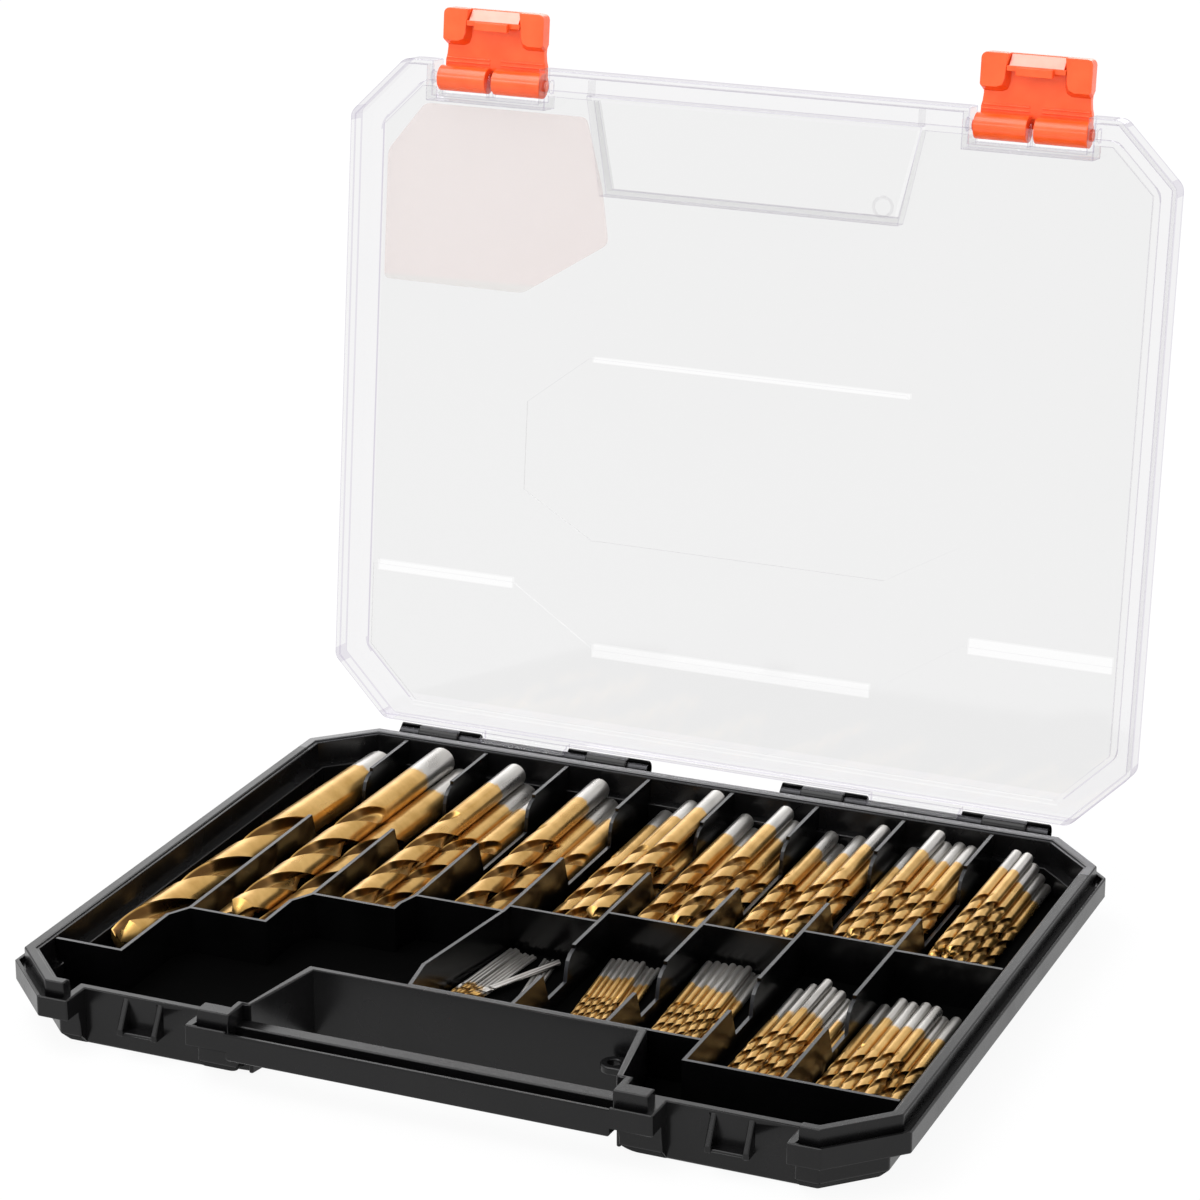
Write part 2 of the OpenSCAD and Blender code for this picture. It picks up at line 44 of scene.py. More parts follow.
# The hinge axis, and how far the lid stands open
HINGE_Y, HINGE_Z, LID_OPEN = 97.0, 16.3, 96.4
# Axis of the latches with the lid closed
LATCH_X, LATCH_Y, LATCH_Z = 76.8, -88.8, 19.9
# Inside and outside faces of the closed lid's panel
PANEL_IN, PANEL_OUT = 22.1, 23.6

pivot = Matrix.Translation((0, HINGE_Y * MM, HINGE_Z * MM))
TO_OPEN = pivot @ Matrix.Rotation(math.radians(-LID_OPEN), 4, "X") @ pivot.inverted()
TO_CLOSED = TO_OPEN.inverted()


# ---------------------------------------------------------------- materials

class Finish:
    """A material being put together from nodes."""

    def __init__(self, name):
        self.material = bpy.data.materials.new(name)
        self.material.use_nodes = True
        self.nodes = self.material.node_tree.nodes
        self.links = self.material.node_tree.links
        self.nodes.clear()
        self.out = self.nodes.new("ShaderNodeOutputMaterial")
        self.place = self.nodes.new("ShaderNodeTexCoord").outputs["Object"]

    def add(self, kind, link=None, **values):
        made = self.nodes.new("ShaderNode" + kind)
        for key, value in values.items():
            setattr(made, key, value)
        for socket, source in (link or {}).items():
            self.feed(made.inputs[socket], source)
        return made

    def feed(self, socket, source):
        if isinstance(source, bpy.types.NodeSocket):
            self.links.new(source, socket)
        else:
            socket.default_value = source

    def stretched(self, scale):
        return self.add("Mapping", {"Vector": self.place, "Scale": scale}).outputs[0]

    def noise(self, size, detail=2.0, rough=0.5, scale=(1, 1, 1)):
        """Noise whose lumps are about size mm across."""
        return self.add("TexNoise", {
            "Vector": self.stretched(scale), "Scale": 1 / (size * MM),
            "Detail": detail, "Roughness": rough}).outputs["Fac"]

    def spread(self, source, low, high, start=0.3, stop=0.7):
        return self.add("MapRange", {
            "Value": source, "From Min": start, "From Max": stop,
            "To Min": low, "To Max": high}).outputs["Result"]

    def blend(self, share, first, second):
        made = self.add("Mix", data_type="RGBA")
        self.feed(made.inputs[0], share)
        self.feed(made.inputs[6], first)
        self.feed(made.inputs[7], second)
        return made.outputs[2]

    def bump(self, height, strength, distance):
        return self.add("Bump", {
            "Height": height, "Strength": strength, "Distance": distance * MM}).outputs[0]

    def surface(self, **values):
        made = self.add("BsdfPrincipled", {k.replace("_", " "): v for k, v in values.items()})
        self.feed(self.out.inputs["Surface"], made.outputs[0])
        return made


def moulded_black(name, base, rough, gloss):
    """Satin black plastic with a fine grain and faint unevenness. gloss is its IOR."""
    f = Finish(name)
    cloud = f.noise(14, 3)
    grain = f.noise(0.35, 2)
    lighter = tuple(1.6 * c for c in base[:3]) + (1,)
    f.surface(
        Base_Color=f.blend(f.spread(cloud, 0, 1), base, lighter),
        Roughness=f.spread(cloud, rough - 0.04, rough + 0.05), IOR=gloss,
        Normal=f.bump(grain, 0.1, 0.04))
    return f.material


def clear_plastic(name, face, edge):
    """Clear plastic: what is behind it shows through a faint tint that deepens at the edges."""
    f = Finish(name)
    facing = f.add("LayerWeight", {"Blend": 0.5}).outputs["Facing"]
    smear = f.spread(f.noise(26, 2), -0.006, 0.006)
    depth = f.add("MapRange", {
        "Value": facing, "From Min": 0.72, "From Max": 0.99, "To Min": 0.0, "To Max": 1.0})
    wavy = f.add("Math", {0: depth.outputs[0], 1: smear}, operation="ADD", use_clamp=True)
    tint = f.blend(wavy.outputs[0], face, edge)
    through = f.add("BsdfTransparent", {"Color": tint})
    gloss = f.add("BsdfAnisotropic", {"Color": (1, 1, 1, 1), "Roughness": 0.06})
    steep = f.add("Math", {0: facing, 1: 5.0}, operation="POWER")
    shine = f.add("Math", {0: steep.outputs[0], 1: 0.5, 2: 0.02}, operation="MULTIPLY_ADD")
    mix = f.add("MixShader", {0: shine.outputs[0], 1: through.outputs[0], 2: gloss.outputs[0]})
    f.feed(f.out.inputs["Surface"], mix.outputs[0])
    return f.material


def label_film(name, blush, paler):
    """A plain pale film with a faint blush, as its back shows through the lid."""
    f = Finish(name)
    pale = f.blend(f.spread(f.noise(45, 0), 0, 1, 0, 1), blush, paler)
    front = f.add("BsdfDiffuse", {"Color": pale})
    back = f.add("BsdfTranslucent", {"Color": pale})
    film = f.add("MixShader", {0: 0.5, 1: front.outputs[0], 2: back.outputs[0]})
    through = f.add("BsdfTransparent", {"Color": (1.0, 0.975, 0.97, 1)})
    mix = f.add("MixShader", {0: 0.23, 1: through.outputs[0], 2: film.outputs[0]})
    f.feed(f.out.inputs["Surface"], mix.outputs[0])
    return f.material


def latch_orange(name, low, high):
    """Glossy orange moulding with slight mottling."""
    f = Finish(name)
    cloud = f.noise(5, 3)
    f.surface(
        Base_Color=f.blend(f.spread(cloud, 0, 1), low, high),
        Roughness=f.spread(cloud, 0.2, 0.27), Normal=f.bump(f.noise(0.5, 2), 0.06, 0.03),
        Subsurface_Weight=0.08, Subsurface_Scale=0.002)
    return f.material


def drill_metal(name):
    """Gold coating over steel. The attribute "shank" is below 1 where the steel is bare; a second
    attribute is 1 on the steep side of each flute, where painted shade turns the gold a dark
    brown."""
    f = Finish(name)
    along = f.add("Attribute", attribute_name="shank").outputs["Fac"]
    ragged = f.spread(f.noise(1.5, 3), -0.05, 0.05, 0.25, 0.75)
    edge = f.add("Math", {0: along, 1: ragged}, operation="ADD").outputs[0]
    coated = f.spread(edge, 0, 1, 0.97, 1.05)
    cloud = f.noise(6, 3)
    streak = f.noise(5, 2, scale=(1, 0.3, 1))
    gold = f.blend(f.spread(cloud, 0, 1), (0.52, 0.30, 0.08, 1), (0.72, 0.45, 0.155, 1))
    steel = f.blend(f.spread(streak, 0, 1), (0.40, 0.385, 0.365, 1), (0.64, 0.62, 0.59, 1))
    hollow = f.add("Attribute", attribute_name="hollow").outputs["Fac"]
    # Painted shade: the gold darkens to a deep brown on the flutes' steep side
    deep = f.blend(f.spread(hollow, 0, 0.95, 0, 1), gold, (0.07, 0.03, 0.007, 1))
    f.surface(
        Base_Color=f.blend(coated, steel, deep), Metallic=0.9,
        Roughness=f.spread(streak, 0.26, 0.34))
    return f.material


def dark_pin(name):
    """Blackened steel with turning marks."""
    f = Finish(name)
    marks = f.noise(0.4, 2, scale=(0.2, 1, 1))
    f.surface(
        Base_Color=f.blend(f.spread(marks, 0, 1), (0.03, 0.03, 0.032, 1), (0.06, 0.06, 0.065, 1)),
        Metallic=0.8, Roughness=f.spread(marks, 0.3, 0.45))
    return f.material


tray_black = moulded_black("tray_black", (0.0030, 0.0029, 0.0031, 1), 0.25, 1.36)
# Painted sheen: a lighter, glossier black for the rear rim's top, standing in for the backdrop's
# reflection
tray_rim_painted_sheen = moulded_black("tray_rim_painted_sheen", (0.022, 0.022, 0.025, 1), 0.3, 1.75)
# Painted shade: a darker, duller black for faces turned downwards
tray_under_painted_shade = moulded_black("tray_under_painted_shade", (0.0015, 0.0015, 0.0016, 1), 0.6, 1.12)
insert_black = moulded_black("insert_black", (0.0012, 0.0012, 0.0013, 1), 0.2, 1.36)
# Painted highlight: a lighter, bluish, glossier black for the upward faces of the divider tops and
# notches, standing in for their light edge lines
insert_edge_painted_highlight = moulded_black("insert_edge_painted_highlight", (0.009, 0.0095, 0.0115, 1), 0.28, 1.46)
# Painted shade: a blacker, duller floor for the pockets
insert_floor = moulded_black("insert_floor", (0.0004, 0.0004, 0.0004, 1), 0.9, 1.1)
lid_clear = clear_plastic("lid_clear", (0.948, 0.946, 0.95, 1), (0.72, 0.69, 0.74, 1))
panel_clear = clear_plastic("panel_clear", (0.926, 0.926, 0.926, 1), (0.72, 0.69, 0.74, 1))
# Painted highlight: a clearer tint on the panel's step slopes and recess walls, standing in for
# the light they refract
lid_painted_highlight = clear_plastic("lid_painted_highlight", (0.985, 0.985, 0.985, 1), (0.93, 0.92, 0.94, 1))
# Painted shade: a darker tint on the lid's rounded edges, standing in for the dark lines that
# refraction shows there
lid_edge_painted_shade = clear_plastic("lid_edge_painted_shade", (0.81, 0.79, 0.84, 1), (0.55, 0.51, 0.59, 1))
label_pale = label_film("label_pale", (1.0, 0.89, 0.87, 1), (1.0, 0.92, 0.91, 1))
label_margin = label_film("label_margin", (0.90, 0.935, 0.91, 1), (0.88, 0.91, 0.89, 1))
orange = latch_orange("latch_orange", (0.93, 0.10, 0.016, 1), (1.0, 0.125, 0.025, 1))
# Painted shade: a darker orange for the pads' and hook's walls turned to the barrel or inwards
orange_painted_shade = latch_orange("latch_painted_shade", (0.80, 0.065, 0.008, 1), (0.86, 0.08, 0.012, 1))
# Painted highlight: a pale pink for the sloped facet at the tip, standing in for its reflection of
# the light
orange_painted_highlight = latch_orange("latch_painted_highlight", (1.0, 0.36, 0.27, 1), (1.0, 0.41, 0.32, 1))
coated = drill_metal("coated_steel")
pin_black = dark_pin("pin_black")


# ---------------------------------------------------------------- modelling helpers

def make_piece(bm, name, body, materials, stands_for=()):
    """Turns a finished bmesh, in metres, into a piece that rides on a body."""
    mesh = bpy.data.meshes.new(name)
    bm.to_mesh(mesh)
    bm.free()
    for material in materials:
        mesh.materials.append(material)
    piece = bpy.data.objects.new(name, mesh)
    scene.collection.objects.link(piece)
    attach(piece, body)
    if stands_for:
        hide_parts(*stands_for)
    return piece


def merged(node):
    """A clean copy of a CAD node's mesh: doubles merged and flat faces joined."""
    bm = bmesh.new()
    bm.from_mesh(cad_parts[node].data)
    bmesh.ops.remove_doubles(bm, verts=bm.verts, dist=0.002 * MM)
    bmesh.ops.dissolve_degenerate(bm, dist=0.001 * MM, edges=bm.edges)
    bmesh.ops.dissolve_limit(
        bm, angle_limit=math.radians(1), verts=bm.verts, edges=bm.edges,
        use_dissolve_boundaries=False, delimit=set())
    return bm


def soften(piece, width, segments=2, clamp=True):
    """Rounds the edges that carry a bevel weight, to width mm times the weight."""
    bevel = piece.modifiers.new("soft_edges", "BEVEL")
    bevel.limit_method = "WEIGHT"
    bevel.width = width * MM
    bevel.segments = segments
    bevel.harden_normals = True
    bevel.use_clamp_overlap = clamp
    bevel.miter_outer = "MITER_ARC"
    return piece


def weigh_edges(bm, weight_of, sharp=25):
    """Smooth-shades the mesh and gives each sharp convex edge the weight that weight_of says."""
    layers = bm.edges.layers.float
    weights = layers.get("bevel_weight_edge") or layers.new("bevel_weight_edge")
    for face in bm.faces:
        face.smooth = True
    for edge in bm.edges:
        if len(edge.link_faces) != 2 or edge.calc_face_angle(0) < math.radians(sharp):
            continue
        edge.smooth = False
        if edge.is_convex:
            edge[weights] = weight_of(edge)


def middle(edge):
    return (edge.verts[0].co + edge.verts[1].co) / (2 * MM)


def add_block(bm, low, high):
    """A box between two corners, in mm."""
    low, high = Vector(low), Vector(high)
    made = bmesh.ops.create_cube(bm, size=1)["verts"]
    bmesh.ops.scale(bm, vec=(high - low) * MM, verts=made)
    bmesh.ops.translate(bm, vec=(high + low) / 2 * MM, verts=made)
    return made


def add_prism(bm, outline, low, high, axes=(0, 1, 2)):
    """Raises an outline, in mm, from low to high. axes says which way each of its numbers runs."""
    def place(a, b, c):
        point = [0, 0, 0]
        point[axes[0]], point[axes[1]], point[axes[2]] = a * MM, b * MM, c * MM
        return point
    base = [bm.verts.new(place(a, b, low)) for a, b in outline]
    face = bm.faces.new(base)
    grown = bmesh.ops.extrude_face_region(bm, geom=[face])["geom"]
    top = [v for v in grown if isinstance(v, bmesh.types.BMVert)]
    step = Vector(place(0, 0, high - low))
    bmesh.ops.translate(bm, vec=step, verts=top)
    verts = base + top
    faces = list({f for v in verts for f in v.link_faces})
    bmesh.ops.recalc_face_normals(bm, faces=faces)
    return verts


def add_rod(bm, centre, radius, low, high, segments=40):
    """A rod along X between two ends, in mm."""
    made = bmesh.ops.create_cone(
        bm, cap_ends=True, segments=segments, radius1=radius * MM, radius2=radius * MM,
        depth=(high - low) * MM)["verts"]
    bmesh.ops.rotate(bm, verts=made, cent=(0, 0, 0), matrix=Matrix.Rotation(math.pi / 2, 3, "Y"))
    bmesh.ops.translate(
        bm, verts=made, vec=((low + high) / 2 * MM, centre[0] * MM, centre[1] * MM))
    return made


# ---------------------------------------------------------------- tray and insert

def tray_weight(edge):
    """Rim, flange and foot edges are rounder than the rest."""
    p = middle(edge)
    thin = 13.6 < p.z < 18 and abs(p.y) < 87 and abs(p.x) < 111
    return 0.3 if thin else 1.0


tray = merged("base_shell")
# The rim's top is cut across, so that its rear can carry a painted sheen, a lighter and glossier
# black that stands in for the backdrop's reflection
rim = [face for face in tray.faces
       if face.normal.z > 0.9 and face.calc_center_median().z > 17 * MM]
bmesh.ops.bisect_plane(
    tray, geom=list({part for face in rim for part in (face, *face.edges, *face.verts)}),
    dist=0.001 * MM, plane_co=(0, 70 * MM, 0), plane_no=(0, 1, 0))
for face in tray.faces:
    centre, up = face.calc_center_median() / MM, face.normal.z
    # The rear rim's top takes the painted sheen
    rear_rim_painted_sheen = up > 0.9 and centre.z > 17 and centre.y > 60
    # Faces turned downwards take the painted shade
    face.material_index = 1 if rear_rim_painted_sheen else 2 if up < -0.15 else 0
weigh_edges(tray, tray_weight)
soften(
    make_piece(tray, "tray", "tray", [tray_black, tray_rim_painted_sheen, tray_under_painted_shade],
               ["base_shell"]),
    0.45, 3, clamp=False)

insert = merged("divider_insert")
for face in insert.faces:
    high = face.calc_center_median().z / MM
    up = face.normal.z
    # The pockets' floors take the painted shade
    # Upward faces above the floor take the painted highlight
    face.material_index = 1 if high > 6 and up > 0.15 else 2 if high < 6 and up > 0.9 else 0
weigh_edges(insert, lambda edge: 1.0 if middle(edge).z > 6 else 0.0)
soften(
    make_piece(insert, "insert", "tray",
               [insert_black, insert_edge_painted_highlight, insert_floor], ["divider_insert"]), 0.3, 3)

for node in ("hinge_pin_left", "hinge_pin_right"):
    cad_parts[node].data.materials.clear()
    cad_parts[node].data.materials.append(pin_black)


# ---------------------------------------------------------------- lid

def inset_octagon(x, y, inset):
    """True inside the lid's outline, inset from the rim's."""
    w, d = 115 - inset, 91.5 - inset
    corner = 14.7 - 0.5858 * inset
    return abs(x) < w and abs(y) < d and abs(x) + abs(y) < w + d - corner


def in_closed(face):
    """A lid face's middle, in mm, and its normal, with the lid closed."""
    return TO_CLOSED @ face.calc_center_median() / MM, TO_CLOSED.to_3x3() @ face.normal


def is_panel(face):
    """True for the flat inner and outer faces of the lid's raised panel."""
    centre, normal = in_closed(face)
    return abs(normal.z) > 0.9 and centre.z > 21 and inset_octagon(centre.x, centre.y, 4)


def score(bm, a, b):
    """Cuts the lid's panel along the line from a to b, so that a slope can take its painted
    highlight.
    """
    faces = [f for f in bm.faces if is_panel(f)]
    edges = {e for f in faces for e in f.edges}
    verts = {v for f in faces for v in f.verts}
    across = Vector((a[1] - b[1], b[0] - a[0], 0)).normalized()
    bmesh.ops.bisect_plane(
        bm, geom=faces + list(edges) + list(verts), dist=0.001 * MM,
        plane_co=TO_OPEN @ (Vector((a[0], a[1], PANEL_IN)) * MM),
        plane_no=TO_OPEN.to_3x3() @ across)


# The slopes of the panel's steps, which take a painted highlight, as start, end and width in mm
SLOPES = [((-44.5, -15), (47.5, -15), 1.5), ((-41, 67), (41, 67), 3.8),
          ((-108, 51), (-66, 51), 3.0), ((68, 50.5), (108, 50.5), 4.4),
          ((-94.5, 88.1), (94.5, 88.1), 1.7)]
# How far the panel's step on the hinge side stands out from the CAD's, in mm
STEP_OUT = 3.0


def on_slope(x, y):
    """The slope that a point of the panel lies on, or None."""
    for slope in SLOPES:
        a, b, width = slope
        run = Vector(b) - Vector(a)
        along = (Vector((x, y)) - Vector(a)).dot(run.normalized())
        off = (Vector((x, y)) - Vector(a)).dot(Vector((-run.y, run.x)).normalized())
        if 0 < along < run.length and abs(off) < width / 2:
            return slope
    return None


def lid_finish(face):
    """A lid face's finish: 0 for a wall, 1 for the panel and 2 for a painted highlight, on a
    slope, on a wall of the sunk recess and on the hinge side's step.
    """
    centre, normal = in_closed(face)
    if is_panel(face):
        return 1 if on_slope(centre.x, centre.y) is None else 2
    if centre.z > 21 and inset_octagon(centre.x, centre.y, 6):
        return 1
    if abs(centre.x) < 48 and -86.5 < centre.y < -61 and 16 < centre.z < 22.5:
        return 1 if abs(normal.z) > 0.7 else 2
    if abs(normal.y) > 0.7 and 88 < centre.y < 91.2 and abs(centre.x) < 102:
        return 2
    return 0


def lid_weight(edge):
    """The outline's upright corners are rounder than the other edges, and the edges of the
    panel's shallow steps stay sharp."""
    a, b = (TO_CLOSED @ vert.co / MM for vert in edge.verts)
    centre = (a + b) / 2
    if abs(a.z - b.z) > 0.9 * (a - b).length and abs(a.x) > 97.5 and abs(a.y) < 94:
        return 1.0
    if 88 < centre.y < 91.5 and abs(centre.x) < 97:
        return 0.0
    if inset_octagon(centre.x, centre.y, 4.4):
        return 0.0 if centre.z > 22.8 else 0.07
    return 0.15


lid = merged("lid_shell")
for vert in lid.verts:
    spot = TO_CLOSED @ vert.co / MM
    if 85.9 < spot.y < 87.7:
        spot += Vector((-math.copysign(STEP_OUT, spot.x), STEP_OUT, 0))
        vert.co = TO_OPEN @ (spot * MM)
for a, b, width in SLOPES:
    run = Vector(b) - Vector(a)
    side = Vector((-run.y, run.x)).normalized() * width / 2
    for shift in (side, -side):
        score(lid, Vector(a) + shift, Vector(b) + shift)
    for end in (a, b):
        score(lid, end, Vector(end) + side)
for face in lid.faces:
    face.material_index = lid_finish(face)
weigh_edges(lid, lid_weight)
lid_piece = soften(
    make_piece(lid, "lid", "lid",
               [lid_clear, panel_clear, lid_painted_highlight, lid_edge_painted_shade], ["lid_shell"]),
    2.4, 4, clamp=False)
# The rounded edges take the painted shade lines
lid_piece.modifiers["soft_edges"].material = 3

# A ring over the hanging eyelet, and a rib at each end of the sunk panel's front
fittings = bmesh.new()
ring = bmesh.ops.create_circle(fittings, segments=24, radius=3.0 * MM)["verts"]
bmesh.ops.translate(fittings, verts=ring, vec=(38.4 * MM, -65.6 * MM, 16.5 * MM))
wall = bmesh.ops.extrude_edge_only(fittings, edges=list(fittings.edges))["geom"]
bmesh.ops.translate(
    fittings, verts=[v for v in wall if isinstance(v, bmesh.types.BMVert)], vec=(0, 0, 0.65 * MM))
bmesh.ops.solidify(fittings, geom=list(fittings.faces), thickness=0.8 * MM)
for x in (-46.9, 46.9):
    add_block(fittings, (x - 0.5, -91.8, 17.2), (x + 0.5, -87.2, 20.7))
bmesh.ops.recalc_face_normals(fittings, faces=fittings.faces)
bmesh.ops.transform(fittings, matrix=TO_OPEN, verts=fittings.verts)
weigh_edges(fittings, lambda edge: 1.0)
soften(make_piece(fittings, "lid_fittings", "lid", [lid_clear]), 0.25, 2)

# Where the label's pale margin starts
MARGIN_Y = -34.6
label = bmesh.new()
add_prism(label, [(-109.6, -67), (-98.6, -81), (-50, -81), (-44.5, -62), (-42, -47), (-67, -31),
                  (-109.6, -31)], PANEL_OUT + 0.04, PANEL_OUT + 0.2)
corners = [e for e in label.edges if abs((e.verts[0].co - e.verts[1].co).z) > 0.1 * MM]
bmesh.ops.bevel(
    label, geom=corners, offset=1.6 * MM, segments=4, profile=0.5, affect="EDGES", material=-1)
bmesh.ops.bisect_plane(
    label, geom=list(label.verts) + list(label.edges) + list(label.faces), dist=0.001 * MM,
    plane_co=(0, MARGIN_Y * MM, 0), plane_no=(0.02, 1, 0))
for face in label.faces:
    face.material_index = 1 if face.calc_center_median().y > MARGIN_Y * MM else 0
bmesh.ops.transform(label, matrix=TO_OPEN, verts=label.verts)
make_piece(label, "label", "lid", [label_pale, label_margin], ["lid_label"])


# ---------------------------------------------------------------- latches

# Radius of the barrel, and length of the plate from the barrel's axis to its tip, in mm
BARREL, LENGTH = 3.5, 19.2
# How thick the plate is, and how far the pads and the lip stand up from the plate's inner face
PLATE, PAD_RISE, LIP_RISE = 2.0, 2.4, 4.1
# Half of the gap between the halves of the barrel, and where each half ends
GAP_HALF, BARREL_END = 1.0, 15.3


def tip_corner(reach):
    """The rounded corner at the tip of the plate or a pad, reach mm from the middle."""
    radius = 1.6
    return [(reach - radius + radius * math.cos(math.radians(angle)),
             LENGTH - radius + radius * math.sin(math.radians(angle)))
            for angle in (0, 22.5, 45, 67.5, 90)]


def add_pad(bm, side):
    """A pad beside the hook, with sloped walls towards the barrel and the hook."""
    corner = [(side * u, v) for u, v in tip_corner(14.95)]
    outline = [(side * 14.95, 9.6), (side * 14.4, 9.0), (side * 9.4, 9.0), (side * 7.9, 9.7),
               (side * 7.3, 11.4), (side * 7.1, 15.6), (side * 7.6, LENGTH)] + corner[::-1]
    low, high = BARREL - PLATE - PAD_RISE, BARREL - PLATE + 0.1
    for vert in add_prism(bm, [(u, -v) for u, v in outline], low, high):
        if vert.co.z > (low + high) / 2 * MM:
            continue
        u, v = side * vert.co.x / MM, -vert.co.y / MM
        if v < 11.5:
            vert.co.y -= 1.3 * MM
        if u < 9.5 and v < 16:
            vert.co.x += side * 1.0 * MM


def latch_finish(face):
    """The sloped facet at the tip is paler, a painted highlight, and faces turned to the barrel or
    inwards near the pads are a darker orange, painted shade.
    """
    centre, normal = face.calc_center_median() / MM, face.normal
    # The sloped facet at the tip takes the painted highlight
    if abs(centre.x) < 7.5 and centre.y < -16.5 and centre.z < 1.55 and normal.z < -0.3:
        return 2
    # Painted shade on the walls turned to the barrel or inwards
    towards_barrel = normal.y > 0.35 and -17 < centre.y < -8.5
    inwards = normal.x * centre.x < 0 and abs(normal.x) > 0.3 and -17 < centre.y < -8.5
    return 1 if towards_barrel or inwards else 0


def make_latch(name, x, node):
    bm = bmesh.new()
    half = [(15.0, 0), (14.95, 5.0), (14.6, 6.4), (14.4, 8.4), (14.5, 9.8), (14.9, 11.0)]
    half += tip_corner(14.9)
    plan = half + [(-u, v) for u, v in reversed(half)]
    # plate
    add_prism(bm, [(u, -v) for u, v in plan], BARREL - PLATE, BARREL)
    for side in (-1, 1):
        add_pad(bm, side)
    # hook bar: a web between the pads and a thicker lip in its middle
    add_block(bm, (-7.9, -16.1, -1.1), (7.9, -14.7, 1.6))
    add_block(bm, (-5.0, -15.9, BARREL - PLATE - LIP_RISE), (4.8, -13.7, -0.9))
    # sloped facet from the bar to the tip
    add_prism(bm, [(-19.1, 1.6), (-16.0, 1.6), (-16.0, -0.7)], -7.4, 7.4, axes=(1, 2, 0))
    # two halves of the barrel, each with the end of its shaft
    for side in (-1, 1):
        ends = sorted((side * GAP_HALF, side * BARREL_END))
        add_rod(bm, (0, 0), BARREL, *ends)
        add_rod(bm, (0, 0), 1.6, *sorted((side * 15.0, side * 16.2)), 24)
    # fine ridges on the plate beside the barrel
    for low, high in ((-14.6, -1.6), (1.6, 14.6)):
        for v in (4.4, 5.5):
            add_block(bm, (low, -v - 0.25, 1.25), (high, -v + 0.25, 1.6))
    for face in bm.faces:
        face.material_index = latch_finish(face)
    move = TO_OPEN @ Matrix.Translation((x * MM, LATCH_Y * MM, LATCH_Z * MM))
    bmesh.ops.transform(bm, matrix=move, verts=bm.verts)
    weigh_edges(bm, lambda edge: 1.0)
    return soften(
        make_piece(bm, name, name, [orange, orange_painted_shade, orange_painted_highlight], [node]),
        0.35, 3)


make_latch("left_latch", -LATCH_X, "latch_left")
make_latch("right_latch", LATCH_X, "latch_right")


# ---------------------------------------------------------------- drills

# Length of the flutes and of the bare steel end, by diameter in mm
FLUTES = {10: 87, 8: 75, 6.5: 63, 6: 57, 5: 52, 4.5: 47, 4: 43, 3.5: 39, 3.2: 36,
          3: 33, 2.5: 30, 2: 24, 1.5: 18, 1: 12}
BARE = {10: 12, 8: 17, 6.5: 17, 6: 16, 5: 12, 4.5: 14, 4: 14, 3.5: 13, 3.2: 13,
        3: 13, 2.5: 16, 2: 15, 1.5: 11, 1: 24}
# How far along the drill one whole turn of a flute takes, in diameters
LEAD = 6.1
POINT_HALF_ANGLE = 59
# Edges sharper than this many degrees aren't smoothed over
SHARP = 33
# Share of each half turn that the land takes, and how deep the flute cuts
LAND, CUT = 1.66, 0.64


def half_section(fine):
    """Half of a drill's section, a land and then a sunk flute, as rows of angle, radius share and
    how much painted shade darkens the flute on its steep side."""
    land_steps, flute_steps = (6, 14) if fine else (4, 9)
    half = [(LAND * n / land_steps, 1.0, 0.0) for n in range(land_steps + 1)]
    for n in range(1, flute_steps):
        u = (1 - math.cos(math.pi * n / flute_steps)) / 2
        # How much painted shade the flute gets, most at its steep side
        shade = min(1, max(0, (0.52 - u) / 0.36))
        half.append((LAND + (math.pi - LAND) * u,
                     1 - CUT * math.sin(math.pi * u ** 0.72) ** 0.85, shade))
    return half


